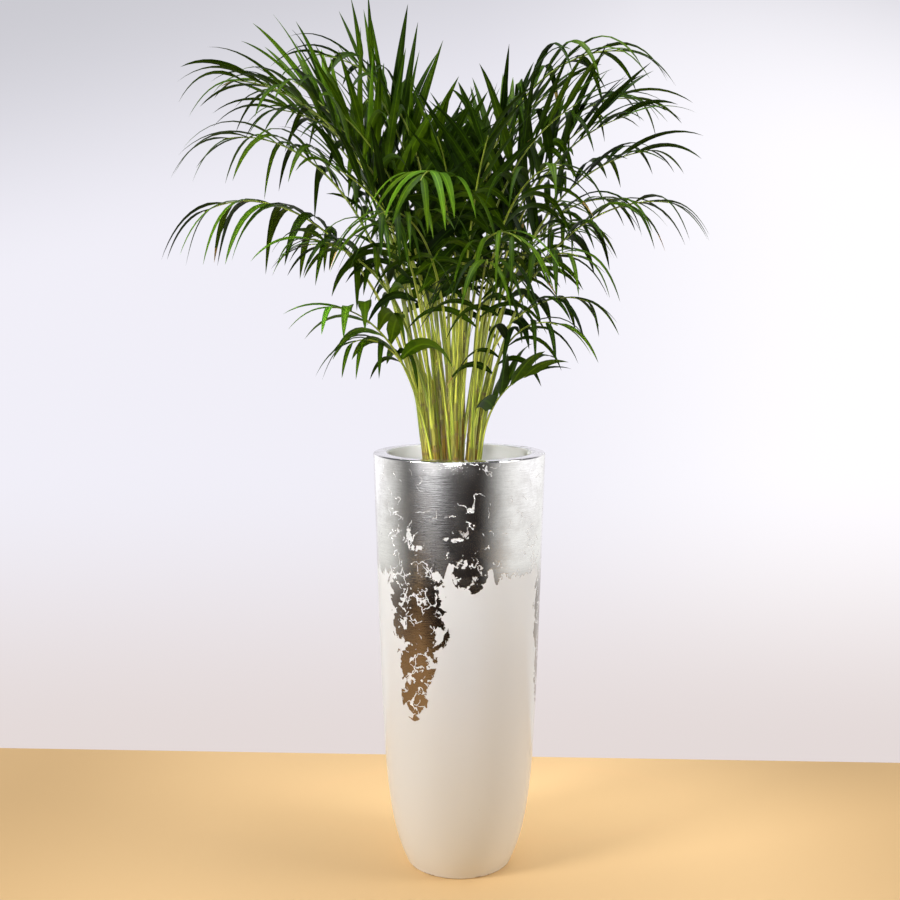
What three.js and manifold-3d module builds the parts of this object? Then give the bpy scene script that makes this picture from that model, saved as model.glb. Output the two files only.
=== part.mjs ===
// Areca palm in a tall flared planter. Millimetres, +Z up.
// The origin is the centre of the planter's flat underside, and -Y is the front.

import * as THREE from 'three';
import { mergeVertices } from 'three/addons/utils/BufferGeometryUtils.js';
import Module from 'manifold-3d';

const wasm = await Module();
wasm.setup();

// Planter
const potHeight = 900;
const potWaist = 156.9; // wall radius at the floor, were the foot not drawn in
const potFlare = 0.029; // outward slope of the wall
const potTuck = 45; // how far the foot draws in
const potTuckReach = 95; // height over which it does
const potSides = 44;
const footRound = 6;
const lipWidth = 32;
const lipRound = 4;
const potFloor = 40;
const clearance = 0.3; // between pieces that rest on each other

// Soil
const soilTop = 830;

// Canes: x and y from the clump's centre, height above the soil, outward lean in degrees
const clumpX = -14;
const clumpY = 0;
const canes = [
  [-49, -13, 200, 6],
  [-32, -42, 230, 6],
  [2, -53, 260, 4],
  [33, -38, 220, 6],
  [45, 1, 200, 6],
  [34, 40, 250, 6],
  [-6, 54, 290, 4],
  [-41, 34, 240, 7],
  [-20, 0, 310, 2],
  [8, -18, 290, 2],
  [14, 16, 330, 2],
];
const caneFootRadius = 10.5;
const caneTipRadius = 6.5;
const caneFlare = 2; // extra radius right at the soil
const caneSides = 8;

// Fronds: cane, share of its height where the foot sits, compass heading, rib length,
// lean at the foot, lean at the tip, and how late the rib bends. 180 is left, 270 is front.
const fronds = [
  // Left side, the lowest arch first
  [7, 0.56, 184, 745, 17, 116, 2.2],
  [0, 0.90, 178, 750, 13, 102, 2.6],
  [1, 1.00, 188, 755, 12, 90, 2.6],
  [7, 1.00, 172, 760, 11, 77, 2.3],
  [0, 1.00, 168, 730, 9, 58, 2.5],
  [8, 1.00, 160, 690, 4, 84, 3.2],
  [8, 0.75, 182, 700, 11, 88, 2.6],
  [1, 0.75, 194, 470, 14, 96, 2.2],
  [7, 0.85, 200, 440, 13, 104, 2.2],
  [0, 0.62, 212, 300, 8, 118, 1.8],
  [1, 0.56, 244, 560, 8, 108, 2.4],
  // Right side, the highest first
  [9, 1.00, 354, 775, 5, 96, 2.6],
  [5, 1.00, 8, 755, 10, 94, 2.7],
  [4, 1.00, 2, 650, 12, 84, 2.2],
  [4, 0.64, 352, 660, 12, 101, 2.1],
  [3, 0.88, 4, 350, 12, 110, 1.5],
  [4, 0.18, 306, 440, 8, 108, 2.2],
  [4, 0.28, 350, 230, 6, 78, 1.7],
  [5, 0.70, 16, 610, 11, 101, 2.3],
  // Front
  [2, 1.00, 262, 540, 6, 128, 2.4],
  [1, 0.22, 214, 450, 13, 92, 2.0],
  [3, 1.00, 305, 560, 8, 100, 2.4],
  [2, 0.70, 285, 520, 9, 122, 2.0],
  [9, 0.75, 262, 520, 5, 52, 2.4],
  [2, 0.45, 250, 600, 8, 110, 2.4],
  [3, 0.60, 314, 500, 11, 108, 2.2],
  [3, 0.40, 280, 540, 8, 112, 2.2],
  // Back
  [6, 1.00, 95, 520, 5, 52, 2.4],
  [6, 0.75, 60, 620, 7, 60, 2.4],
  [6, 0.50, 135, 740, 9, 66, 2.4],
  [5, 0.45, 60, 680, 11, 98, 2.4],
  [5, 0.25, 80, 640, 9, 104, 2.2],
  [7, 0.22, 142, 740, 10, 66, 2.6],
  [10, 0.80, 84, 520, 4, 48, 2.4],
  [6, 0.25, 100, 620, 9, 104, 2.2],
  [10, 0.55, 58, 660, 5, 58, 2.6],
  [4, 0.50, 46, 650, 10, 98, 2.2],
  [0, 0.48, 148, 800, 8, 66, 2.6],
  // Upright ones inside
  [8, 0.60, 144, 700, 5, 54, 2.6],
  [10, 1.00, 22, 580, 5, 66, 2.4],
  [9, 0.50, 330, 700, 6, 62, 2.6],
  [10, 0.30, 10, 760, 8, 60, 2.4],
  [2, 0.24, 215, 650, 7, 64, 2.4],
  [8, 0.28, 225, 710, 6, 55, 2.6],
  [9, 0.28, 284, 680, 6, 60, 2.2],
  [6, 0.88, 200, 660, 7, 37, 2.0],
  [5, 0.92, 346, 660, 11, 80, 2.4],
];
const ribFootRadius = 4.5;
const ribTipRadius = 1;
const ribRings = 8; // straight stretches of a rib, shorter towards its tip
const ribFineSteps = 7; // worked out within each stretch
const ribSway = 20; // most that a rib's heading drifts, degrees
const footSink = 0.85; // a foot on a cane's side sits this share of its radius off the axis
const tipSink = 4; // a foot on a cane's tip starts this far down in it

// Leaflets
const bareShare = 0.45; // share of the rib with no leaflets
const leafletSpacing = 40; // between pairs of real leaflets along the rib
const pairCycle = 4; // one real pair in this many is left to its wider neighbours
const leafletLength = 250; // on a rib of longRib
const longRib = 850;
const shortRibShare = 0.35; // of that length, on the shortest of ribs
const lengthSpread = 0.24; // dealt out around a leaflet's length
const youngWidth = 32; // of a leaflet on an upright frond
const oldWidth = 22; // and on an arching one
const leafletThickness = 2.8;
const leafletRoot = 0.6; // how far a root runs on past the rib's axis
const widestShare = 0.4; // where along its length a leaflet is widest
const leafletSteps = 8;
const uprightLean = 52; // tip lean of a young frond, degrees
const archingLean = 122; // and of an old one
const footAxil = 62; // degrees between the rib and its lowest leaflets
const tipAxil = 24; // and those at its tip
const axilSpread = 18; // dealt out around that
const youngLift = 50; // degrees that leaflets stand out of a young frond's plane
const oldLift = 14; // and of an old one's
const liftFade = 10; // less of it at the tip
const liftSpread = 30; // dealt out around that
const youngDroop = 0.3; // how much a leaflet of a young frond bends down
const oldDroop = 3; // and one of an old frond

const down = new THREE.Vector3(0, 0, -1);

// A repeatable number between 0 and 1 for each seed
function noise(seed) {
  const value = Math.sin(seed * 12.9898) * 43758.5453;
  return value - Math.floor(value);
}

function radians(degrees) {
  return THREE.MathUtils.degToRad(degrees);
}

// The unit vector that leans away from the vertical towards a heading
function leaning(lean, heading) {
  return new THREE.Vector3(
    Math.sin(lean) * Math.cos(heading),
    Math.sin(lean) * Math.sin(heading),
    Math.cos(lean),
  );
}

// Planter and soil

function potRadius(z) {
  return potWaist + potFlare * z - potTuck * Math.exp(-z / potTuckReach);
}

// Quarter arc from one angle to another, in two steps
function arc(x, y, radius, from, to) {
  const points = [];
  for (let i = 0; i <= 2; i += 1) {
    const angle = radians(from + ((to - from) * i) / 2);
    points.push(new THREE.Vector2(x + radius * Math.cos(angle), y + radius * Math.sin(angle)));
  }
  return points;
}

function turned(profile) {
  return new THREE.LatheGeometry(profile, potSides).rotateX(Math.PI / 2);
}

function potGeometry() {
  const lipInner = potRadius(potHeight) - lipWidth;
  const wall = [30, 60, 100, 150, 220, 340, 560];
  const cavity = [400, 200, 110];
  return turned([
    new THREE.Vector2(0, 0),
    ...arc(potRadius(footRound) - footRound, footRound, footRound, -90, 0),
    ...wall.map((z) => new THREE.Vector2(potRadius(z), z)),
    ...arc(potRadius(potHeight) - lipRound, potHeight - lipRound, lipRound, 0, 90),
    ...arc(lipInner + lipRound, potHeight - lipRound, lipRound, 90, 180),
    ...cavity.map((z) => new THREE.Vector2(potRadius(z) - lipWidth, z)),
    new THREE.Vector2(potRadius(potFloor) - lipWidth, potFloor),
    new THREE.Vector2(0, potFloor),
  ]);
}

function soilGeometry() {
  const wall = [110, 200, 400, soilTop];
  const foot = potFloor + clearance;
  return turned([
    new THREE.Vector2(0, foot),
    new THREE.Vector2(potRadius(potFloor) - lipWidth - 1, foot),
    ...wall.map((z) => new THREE.Vector2(potRadius(z) - lipWidth - 1, z)),
    new THREE.Vector2(0, soilTop),
  ]);
}

// Canes

function caneFoot(index) {
  const [x, y] = canes[index];
  return new THREE.Vector3(clumpX + x, clumpY + y, soilTop + clearance);
}

function caneAxis(index, share) {
  const [x, y, height, lean] = canes[index];
  const along = leaning(radians(lean), Math.atan2(y, x)).multiplyScalar(height * share);
  return caneFoot(index).add(along);
}

function caneRadius(share) {
  return THREE.MathUtils.lerp(caneFootRadius, caneTipRadius, share);
}

// A cylinder bent so that place(share, x, z) gives each point of its rings
function bentRod(sides, steps, place) {
  const rod = new THREE.CylinderGeometry(1, 1, 1, sides, steps);
  const points = rod.attributes.position;
  for (let i = 0; i < points.count; i += 1) {
    const point = place(points.getY(i) + 0.5, points.getX(i), points.getZ(i));
    points.setXYZ(i, point.x, point.y, point.z);
  }
  return rod;
}

// A cane from its level cut at the soil to its tip, or one larger all round by grow
function caneGeometry(index, grow) {
  const shares = [0, 0.1, 0.5, 1];
  return bentRod(caneSides, shares.length - 1, (step, x, z) => {
    const ring = Math.round(step * (shares.length - 1));
    const radius = caneRadius(shares[ring]) + (ring === 0 ? caneFlare : 0) + grow;
    const point = caneAxis(index, shares[ring]);
    point.x += x * radius;
    point.y -= z * radius;
    point.z += ring === shares.length - 1 ? grow : 0;
    return point;
  });
}

// Fronds

// Tangent, sideways and upper directions of a rib at a share of its length
function ribFrame(index, share) {
  const [, , heading, , footLean, tipLean, bend] = fronds[index];
  const sway = (noise(index * 3.3 + 0.7) - 0.5) * 2 * ribSway;
  const az = radians(heading + sway * share ** 2);
  const lean = radians(footLean + (tipLean - footLean) * share ** bend);
  const along = leaning(lean, az);
  const across = new THREE.Vector3(-Math.sin(az), Math.cos(az), 0);
  const upper = new THREE.Vector3().crossVectors(along, across);
  return { along, across, upper };
}

// Share of the rib's length at the end of each of its straight stretches
function ringShare(step) {
  return 1 - (1 - step) ** 1.5;
}

// The corners of a rib, worked out in fine steps
function ribPath(index) {
  const [cane, share, heading, length] = fronds[index];
  const onTip = share >= 1;
  const outward = leaning(Math.PI / 2, radians(heading));
  const point = caneAxis(cane, share);
  point.addScaledVector(outward, onTip ? 0 : footSink * caneRadius(share));
  point.z -= onTip ? tipSink : 0;
  const path = [point.clone()];
  for (let ring = 0; ring < ribRings; ring += 1) {
    const start = ringShare(ring / ribRings);
    const span = ringShare((ring + 1) / ribRings) - start;
    for (let i = 0; i < ribFineSteps; i += 1) {
      const share = start + (span * (i + 0.5)) / ribFineSteps;
      point.addScaledVector(ribFrame(index, share).along, (length * span) / ribFineSteps);
    }
    path.push(point.clone());
  }
  return path;
}

// A point at a place from 0 to 1 along a row of points
function pointOn(path, place) {
  const scaled = Math.min(place, 0.9999) * (path.length - 1);
  const step = Math.floor(scaled);
  return path[step].clone().lerp(path[step + 1], scaled - step);
}

// A point at a share of a rib's length
function pointOnRib(path, share) {
  let ring = 1;
  while (ring < ribRings && ringShare(ring / ribRings) < share) ring += 1;
  const start = ringShare((ring - 1) / ribRings);
  const span = ringShare(ring / ribRings) - start;
  return path[ring - 1].clone().lerp(path[ring], (share - start) / span);
}

function ribRadius(share) {
  return ribTipRadius + (ribFootRadius - ribTipRadius) * (1 - share) ** 0.8;
}

function ribGeometry(index, path) {
  return bentRod(3, ribRings, (step, x, z) => {
    const share = ringShare(step);
    const { across, upper } = ribFrame(index, share);
    const radius = ribRadius(share);
    return pointOn(path, step)
      .addScaledVector(across, x * radius)
      .addScaledVector(upper, -z * radius);
  });
}

// How far a frond has come over, from 0 for a young upright one to 1 for an old arching one
function age(index) {
  const share = (fronds[index][5] - uprightLean) / (archingLean - uprightLean);
  return THREE.MathUtils.clamp(share, 0, 1);
}

// A leaflet's share of the full length, most in the middle of the frond
function swell(place) {
  return 0.62 + 0.42 * Math.sin(Math.PI * (0.12 + 0.8 * place)) - 0.1 * place ** 3;
}

// Where each leaflet springs from, which way it sets out, and how it hangs
function leafletsOf(index, path) {
  const length = fronds[index][3];
  const count = Math.max(4, Math.round((length * (1 - bareShare)) / leafletSpacing));
  const full = leafletLength * THREE.MathUtils.lerp(shortRibShare, 1, length / longRib);
  const leaflets = [];
  const old = age(index);
  const width = THREE.MathUtils.lerp(youngWidth, oldWidth, old);
  const openLift = THREE.MathUtils.lerp(youngLift, oldLift, old);
  const droop = THREE.MathUtils.lerp(youngDroop, oldDroop, old ** 1.3);
  for (let pair = 0; pair < count; pair += 1) {
    const sides = (count - pair) % pairCycle === 0 ? [] : [-1, 1];
    for (const side of sides) {
      const turn = noise(index * 97 + pair * 2 + (side + 1) / 2);
      const rise = noise(index * 31.7 + pair * 5.3 + side * 1.7 + 0.4);
      const place = (pair + 0.5 + 0.25 * side) / count;
      const share = bareShare + (1 - bareShare) * place * 0.99;
      const { along, across, upper } = ribFrame(index, share);
      const openAxil = THREE.MathUtils.lerp(footAxil, tipAxil, place);
      const axil = radians(openAxil + (turn - 0.5) * axilSpread);
      const lift = radians(openLift - liftFade * place + (rise - 0.5) * liftSpread);
      const heading = along.clone().multiplyScalar(Math.cos(axil));
      heading.addScaledVector(across, Math.sin(axil) * Math.cos(lift) * side);
      heading.addScaledVector(upper, Math.sin(axil) * Math.sin(lift));
      leaflets.push({
        root: pointOnRib(path, share),
        heading,
        along,
        width: width * (1 - 0.4 * place ** 2),
        length: full * swell(place) * (1 + (rise - 0.5) * lengthSpread),
        droop: droop * (0.6 + 0.8 * turn),
      });
    }
  }
  return leaflets;
}

// The midrib of a leaflet, which sets out along its heading and bends down
function midrib(leaflet, reach) {
  const point = leaflet.root.clone();
  const path = [point.clone()];
  for (let i = 0; i < leafletSteps; i += 1) {
    const share = (i + 0.5) / leafletSteps;
    const step = leaflet.heading.clone().addScaledVector(down, leaflet.droop * share ** 1.3);
    point.addScaledVector(step.normalize(), (leaflet.length * reach) / leafletSteps);
    path.push(point.clone());
  }
  return path;
}

// An octahedron drawn out along the midrib, or one larger all round by grow
function leafletGeometry(leaflet, reach, grow) {
  const path = midrib(leaflet, reach);
  const thick = Math.max(leafletThickness, (leaflet.length * reach) / 90);
  const blade = new THREE.OctahedronGeometry(1, 0);
  const points = blade.attributes.position;
  const along = path[path.length - 1].clone().sub(path[0]).normalize();
  const across = leaflet.along.clone().addScaledVector(along, -leaflet.along.dot(along));
  across.normalize();
  const face = new THREE.Vector3().crossVectors(along, across);
  for (let i = 0; i < points.count; i += 1) {
    const x = points.getX(i);
    const share = x > 0.5 ? 1 : x < -0.5 ? 0 : widestShare;
    const point = pointOn(path, share);
    point.addScaledVector(leaflet.heading, x < -0.5 ? -leafletRoot : 0);
    point.addScaledVector(along, x * grow);
    point.addScaledVector(across, points.getY(i) * (leaflet.width / 2 + grow));
    point.addScaledVector(face, points.getZ(i) * (thick / 2 + grow));
    points.setXYZ(i, point.x, point.y, point.z);
  }
  return blade;
}

// Solids

function toSolid(geometry) {
  const bare = geometry.clone();
  bare.deleteAttribute('normal');
  bare.deleteAttribute('uv');
  const merged = mergeVertices(bare, 1e-4);
  return new wasm.Manifold(
    new wasm.Mesh({
      numProp: 3,
      vertProperties: new Float32Array(merged.attributes.position.array),
      triVerts: new Uint32Array(merged.index.array),
    }),
  );
}

function toGeometry(solid, origin) {
  const mesh = solid.getMesh();
  const geometry = new THREE.BufferGeometry();
  geometry.setAttribute('position', new THREE.BufferAttribute(mesh.vertProperties, 3));
  geometry.setIndex(new THREE.BufferAttribute(mesh.triVerts, 1));
  geometry.translate(-origin.x, -origin.y, -origin.z);
  geometry.computeVertexNormals();
  return geometry;
}

function boxOf(geometry) {
  geometry.computeBoundingBox();
  return geometry.boundingBox;
}

const taken = []; // solids of the pieces so far, with their boxes and the frond they belong to

// Whether a solid meets any piece but the named frond's own
function meetsOther(solid, box, owner) {
  return taken.some(
    (piece) => piece.owner !== owner && piece.box.intersectsBox(box)
      && !piece.solid.intersect(solid).isEmpty(),
  );
}

const finishes = {
  glaze: new THREE.MeshStandardMaterial({ color: 0xdcdbd6, roughness: 0.2, metalness: 0.4 }),
  soil: new THREE.MeshStandardMaterial({ color: 0x3b2a1e, roughness: 0.95, metalness: 0 }),
  cane: new THREE.MeshStandardMaterial({ color: 0x9aa02e, roughness: 0.5, metalness: 0 }),
  leaf: new THREE.MeshStandardMaterial({ color: 0x2f6a1c, roughness: 0.5, metalness: 0 }),
};

function addPiece(group, name, geometry, finish, origin) {
  const mesh = new THREE.Mesh(geometry, finish);
  mesh.name = name;
  mesh.position.copy(origin);
  group.add(mesh);
}

const palm = new THREE.Group();
const atOrigin = new THREE.Vector3();
addPiece(palm, 'pot', potGeometry(), finishes.glaze, atOrigin);
addPiece(palm, 'soil', soilGeometry(), finishes.soil, atOrigin);

canes.forEach((cane, index) => {
  const foot = caneFoot(index);
  const geometry = caneGeometry(index, 0);
  const number = String(index + 1).padStart(2, '0');
  taken.push({ solid: toSolid(geometry), box: boxOf(geometry).clone(), owner: -1 });
  geometry.translate(-foot.x, -foot.y, -foot.z);
  addPiece(palm, `cane_${number}`, geometry, finishes.cane, foot);
});

// Each rib, cut clear of the cane that carries it
const ribs = fronds.map(([cane], index) => {
  const path = ribPath(index);
  const geometry = ribGeometry(index, path);
  const solid = toSolid(geometry).subtract(toSolid(caneGeometry(cane, clearance)));
  taken.push({ solid, box: boxOf(geometry), owner: index });
  return { path, solid };
});

// Each leaflet is tried at its full length, then shorter, and left out if it still meets a piece
const tries = [1, 0.8, 0.6];
ribs.forEach(({ path, solid }, index) => {
  let frond = solid;
  for (const leaflet of leafletsOf(index, path)) {
    for (const reach of tries) {
      const wide = leafletGeometry(leaflet, reach, clearance);
      if (!meetsOther(toSolid(wide), boxOf(wide), index)) {
        const blade = toSolid(leafletGeometry(leaflet, reach, 0));
        taken.push({ solid: blade, box: boxOf(wide), owner: index });
        frond = frond.add(blade);
        break;
      }
    }
  }
  const number = String(index + 1).padStart(2, '0');
  addPiece(palm, `frond_${number}`, toGeometry(frond, path[0]), finishes.leaf, path[0]);
});

export default palm;
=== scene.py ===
import math

import bpy
import numpy as np
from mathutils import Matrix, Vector


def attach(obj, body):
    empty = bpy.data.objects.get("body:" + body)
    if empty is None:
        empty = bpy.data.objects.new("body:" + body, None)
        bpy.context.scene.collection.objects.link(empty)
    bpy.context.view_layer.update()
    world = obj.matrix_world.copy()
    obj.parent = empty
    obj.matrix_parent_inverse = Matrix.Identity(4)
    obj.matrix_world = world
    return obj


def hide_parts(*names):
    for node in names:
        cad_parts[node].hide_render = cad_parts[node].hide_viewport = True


# Areca palm in a tall flared planter with a worn silver-leaf band. Metres, +Z up, front towards -Y.
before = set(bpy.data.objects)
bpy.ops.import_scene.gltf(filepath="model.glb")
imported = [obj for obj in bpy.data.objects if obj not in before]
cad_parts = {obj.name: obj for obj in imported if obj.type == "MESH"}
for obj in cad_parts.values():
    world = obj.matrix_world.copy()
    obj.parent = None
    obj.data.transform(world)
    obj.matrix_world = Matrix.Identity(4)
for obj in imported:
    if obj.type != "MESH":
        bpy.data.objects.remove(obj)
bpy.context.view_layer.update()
up = Vector((0, 0, 1))
scene = bpy.context.scene


# Nodes

def mathsNode(operation):
    return lambda first, second: first.graph.maths(operation, first, second)


class Wire:  # one output of a node; a sum made with it adds Math nodes
    def __init__(self, graph, socket):
        self.graph = graph
        self.socket = socket

    def __getitem__(self, name):  # another output of the same node
        return Wire(self.graph, self.socket.node.outputs[name])

    def __rsub__(self, other):
        return self.graph.maths("SUBTRACT", other, self)

    __add__ = __radd__ = mathsNode("ADD")
    __sub__ = mathsNode("SUBTRACT")
    __mul__ = __rmul__ = mathsNode("MULTIPLY")
    __truediv__ = mathsNode("DIVIDE")
    __pow__ = mathsNode("POWER")
    __gt__ = mathsNode("GREATER_THAN")
    __lt__ = mathsNode("LESS_THAN")


class Graph:  # a node tree that is written as expressions
    def __init__(self, tree):
        self.tree = tree

    def feed(self, node, values):
        for name, value in values.items():
            if isinstance(value, Wire):
                self.tree.links.new(value.socket, node.inputs[name])
            else:
                node.inputs[name].default_value = value

    def node(self, kind, settings=None, sockets=None, output=0):
        made = self.tree.nodes.new(kind)
        for name, value in (settings or {}).items():
            setattr(made, name, value)
        self.feed(made, sockets or {})
        return Wire(self, made.outputs[output] if len(made.outputs) else None)

    def maths(self, operation, *values):
        return self.node("ShaderNodeMath", {"operation": operation}, dict(enumerate(values)))

    def highest(self, first, *others):
        for other in others:
            first = self.maths("MAXIMUM", first, other)
        return first

    def bell(self, *distances):  # 1 where all of them are 0, and about a third where one is 1
        power = 0
        for distance in distances:
            power = power - distance * distance
        return self.maths("EXPONENT", power)

    def axes(self, vector):  # its x, y and z
        split = self.node("ShaderNodeSeparateXYZ", {}, {0: vector})
        return split, split["Y"], split["Z"]

    def shifted(self, vector, offset):
        return self.node("ShaderNodeVectorMath", {"operation": "ADD"}, {0: vector, 1: offset})

    def scaled(self, vector, factor):
        return self.node("ShaderNodeVectorMath", {"operation": "SCALE"}, {0: vector, "Scale": factor})

    def stretched(self, vector, scale):
        return self.node("ShaderNodeMapping", {}, {"Vector": vector, "Scale": scale})

    def step(self, value, low, high):  # 0 below low, 1 above high, smooth between
        return self.node("ShaderNodeMapRange", {"interpolation_type": "SMOOTHSTEP"},
                         {"Value": value, "From Min": low, "From Max": high})

    def blend(self, factor, first, second):  # two colours, by socket number because the names repeat
        return self.node("ShaderNodeMix", {"data_type": "RGBA"}, {0: factor, 6: first, 7: second}, 2)

    def noise(self, place, scale, detail=2.0, roughness=0.5):
        return self.node("ShaderNodeTexNoise", {},
                         {"Vector": place, "Scale": scale, "Detail": detail, "Roughness": roughness})

    def cells(self, place, scale, feature, output):
        return self.node("ShaderNodeTexVoronoi", {"feature": feature},
                         {"Vector": place, "Scale": scale}, output)


class Finish(Graph):  # a material round one Principled shader, with its numbers in a look dictionary
    def __init__(self, name, look):
        self.material = bpy.data.materials.new(name)
        self.material.use_nodes = True
        super().__init__(self.material.node_tree)
        self.shader = self.tree.nodes["Principled BSDF"]
        self.look = look
        self.place = self.node("ShaderNodeTexCoord", output="Object")
        self.wear({"Specular IOR Level": look["specular"]})

    def wear(self, values):
        self.feed(self.shader, values)

    def attribute(self, name, output="Fac"):
        return self.node("ShaderNodeAttribute", {"attribute_name": name}, {}, output)

    def grain(self, name, place=None):  # the noise that the look has under this name
        return self.noise(self.place if place is None else place, *self.look["grain"][name])

    def rise(self, value, name):  # the smooth step that the look has under this name
        return self.step(value, *self.look["span"][name])

    def layered(self, first, *layers):  # colours of the look, each laid over those before it by its share
        colour = self.look[first]
        for share, name in layers:
            colour = self.blend(share, colour, self.look[name])
        return colour

    def done(self, colour, roughness, height):  # with a fine relief
        depth, strength = self.look["relief"]
        bump = self.node("ShaderNodeBump", {}, {"Height": height, "Distance": depth, "Strength": strength})
        self.wear({"Base Color": colour, "Roughness": roughness, "Normal": bump})
        return self.material


def rgb(red, green, blue):
    return (red, green, blue, 1.0)


# Making pieces

def linked(name, data):
    piece = bpy.data.objects.new(name, data)
    scene.collection.objects.link(piece)
    return piece


def seated(piece, slot, *nodes):  # rides on the plant's one body and stands for these nodes, if any
    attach(piece, "root")
    if nodes:
        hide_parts(*nodes)


def turnedMesh(name, profile, sides):  # a closed solid turned about Z from (radius, height) pairs
    rings = [(radius, z) for radius, z in profile if radius > 0]
    points = [(0, 0, profile[0][1])]
    for radius, z in rings:
        for i in range(sides):
            turn = 2 * math.pi * i / sides
            points.append((radius * math.cos(turn), radius * math.sin(turn), z))
    points.append((0, 0, profile[-1][1]))
    last = len(points) - 1
    faces = []
    for i in range(sides):
        j = (i + 1) % sides
        faces.append((0, 1 + j, 1 + i))
        faces.append((last, last - sides + i, last - sides + j))
        for ring in range(len(rings) - 1):
            foot = 1 + ring * sides
            faces.append((foot + i, foot + j, foot + sides + j, foot + sides + i))
    mesh = bpy.data.meshes.new(name)
    mesh.from_pydata(points, [], faces)
    return mesh


def softened(mesh, sharpAngle):  # smooth faces, with sharp edges past an angle
    mesh.shade_smooth()
    mesh.set_sharp_from_angle(angle=math.radians(sharpAngle))
    return mesh


class Strands:  # paths that one sweep turns into solids, with their sizes at each point
    def __init__(self):
        self.points = []
        self.edges = []
        self.columns = {}

    def add(self, points, **columns):
        first = len(self.points)
        self.points += [tuple(point) for point in points]
        self.edges += [(first + i, first + i + 1) for i in range(len(points) - 1)]
        for name, values in columns.items():
            self.columns.setdefault(name, []).extend(values)

    def mesh(self, name):
        mesh = bpy.data.meshes.new(name)
        mesh.from_pydata(self.points, self.edges, [])
        for column, values in self.columns.items():
            array = np.array([tuple(value) if isinstance(value, Vector) else value for value in values])
            kind, field = ("FLOAT_VECTOR", "vector") if array.ndim == 2 else ("FLOAT", "value")
            mesh.attributes.new(column, kind, "POINT").data.foreach_set(field, array.astype(np.float32).ravel())
        return mesh


def grown(name, mesh, tree, sharpAngle, values):  # the plain mesh that a Geometry Nodes tree makes of a mesh
    start = linked(name + "_start", mesh)
    modifier = start.modifiers.new("Grow", "NODES")
    modifier.node_group = tree
    for item in tree.interface.items_tree:
        if item.in_out == "INPUT" and item.name in values:
            modifier[item.identifier] = values[item.name]
    graph = bpy.context.evaluated_depsgraph_get()
    made = bpy.data.meshes.new_from_object(start.evaluated_get(graph), preserve_all_data_layers=True,
                                           depsgraph=graph)
    bpy.data.objects.remove(start)
    return linked(name, softened(made, sharpAngle))


def newTree(name, inputs):  # a tree with inputs of these names and kinds, and its input node
    tree = bpy.data.node_groups.new(name, "GeometryNodeTree")
    tree.interface.new_socket("Geometry", in_out="OUTPUT", socket_type="NodeSocketGeometry")
    for label, kind in {"Geometry": "Geometry", **inputs, "Material": "Material"}.items():
        tree.interface.new_socket(label, in_out="INPUT", socket_type="NodeSocket" + kind)
    graph = Graph(tree)
    return graph, graph.node("NodeGroupInput")


def closeTree(graph, geometry, inputs):
    plain = graph.node("GeometryNodeRealizeInstances", {}, {"Geometry": geometry})
    coloured = graph.node("GeometryNodeSetMaterial", {},
                          {"Geometry": plain, "Material": inputs["Material"]})
    graph.node("NodeGroupOutput", {}, {0: coloured})
    return graph.tree


def namedField(graph, name, kind="FLOAT"):
    return graph.node("GeometryNodeInputNamedAttribute", {"data_type": kind}, {"Name": name}, "Attribute")


def pushed(graph, geometry, amount):  # its points moved along their normals
    offset = graph.scaled(graph.node("GeometryNodeInputNormal"), amount)
    return graph.node("GeometryNodeSetPosition", {}, {"Geometry": geometry, "Offset": offset})


def swept(graph, curve, section):  # a section along curves, as large as their attribute "half" says
    return graph.node("GeometryNodeCurveToMesh", {}, {
        "Curve": curve, "Profile Curve": section, "Scale": namedField(graph, "half"), "Fill Caps": True})


def bladeTree():  # thin blades folded along the midrib, flat across the attribute "across"
    graph, inputs = newTree("bladeSweep", {"Fold": "Float", "Thickness": "Float"})
    fold = inputs["Fold"]
    thick = inputs["Thickness"]
    corners = [(-1.0, 0 - fold), (0.0, 0 - thick), (1.0, 0 - fold), (0.0, thick)]
    section = graph.node("GeometryNodeCurvePrimitiveQuadrilateral", {"mode": "POINTS"}, {
        f"Point {i + 1}": graph.node("ShaderNodeCombineXYZ", {}, {0: x, 1: y})
        for i, (x, y) in enumerate(corners)})
    onMidrib = graph.maths("MODULO", graph.node("GeometryNodeInputIndex"), 2.0)
    section = graph.node("GeometryNodeStoreNamedAttribute", {"data_type": "FLOAT", "domain": "POINT"},
                         {"Geometry": section, "Name": "midrib", "Value": onMidrib})
    curve = graph.node("GeometryNodeMeshToCurve", {}, {"Mesh": inputs})
    turned = graph.node("GeometryNodeSetCurveNormal", {"mode": "FREE"},
                        {"Curve": curve, "Normal": namedField(graph, "across", "FLOAT_VECTOR")})
    return closeTree(graph, swept(graph, turned, section), inputs)


def rodTree():  # round rods, with a fine relief along them
    graph, inputs = newTree("rodSweep", {"Sides": "Int", "Relief": "Float", "Flute Scale": "Float"})
    section = graph.node("GeometryNodeCurvePrimitiveCircle", {},
                         {"Resolution": inputs["Sides"], "Radius": 1.0}, "Curve")
    section = graph.node("GeometryNodeStoreNamedAttribute", {"data_type": "FLOAT_VECTOR", "domain": "POINT"}, {
        "Geometry": section, "Name": "round", "Value": graph.node("GeometryNodeInputPosition")})
    solid = swept(graph, graph.node("GeometryNodeMeshToCurve", {}, {"Mesh": inputs}), section)
    place = graph.shifted(namedField(graph, "round", "FLOAT_VECTOR"),
                          namedField(graph, "lengthwise", "FLOAT_VECTOR"))
    ridge = graph.noise(place, inputs["Flute Scale"]) - 0.5
    return closeTree(graph, pushed(graph, solid, ridge * inputs["Relief"]), inputs)


# The planter

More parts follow.
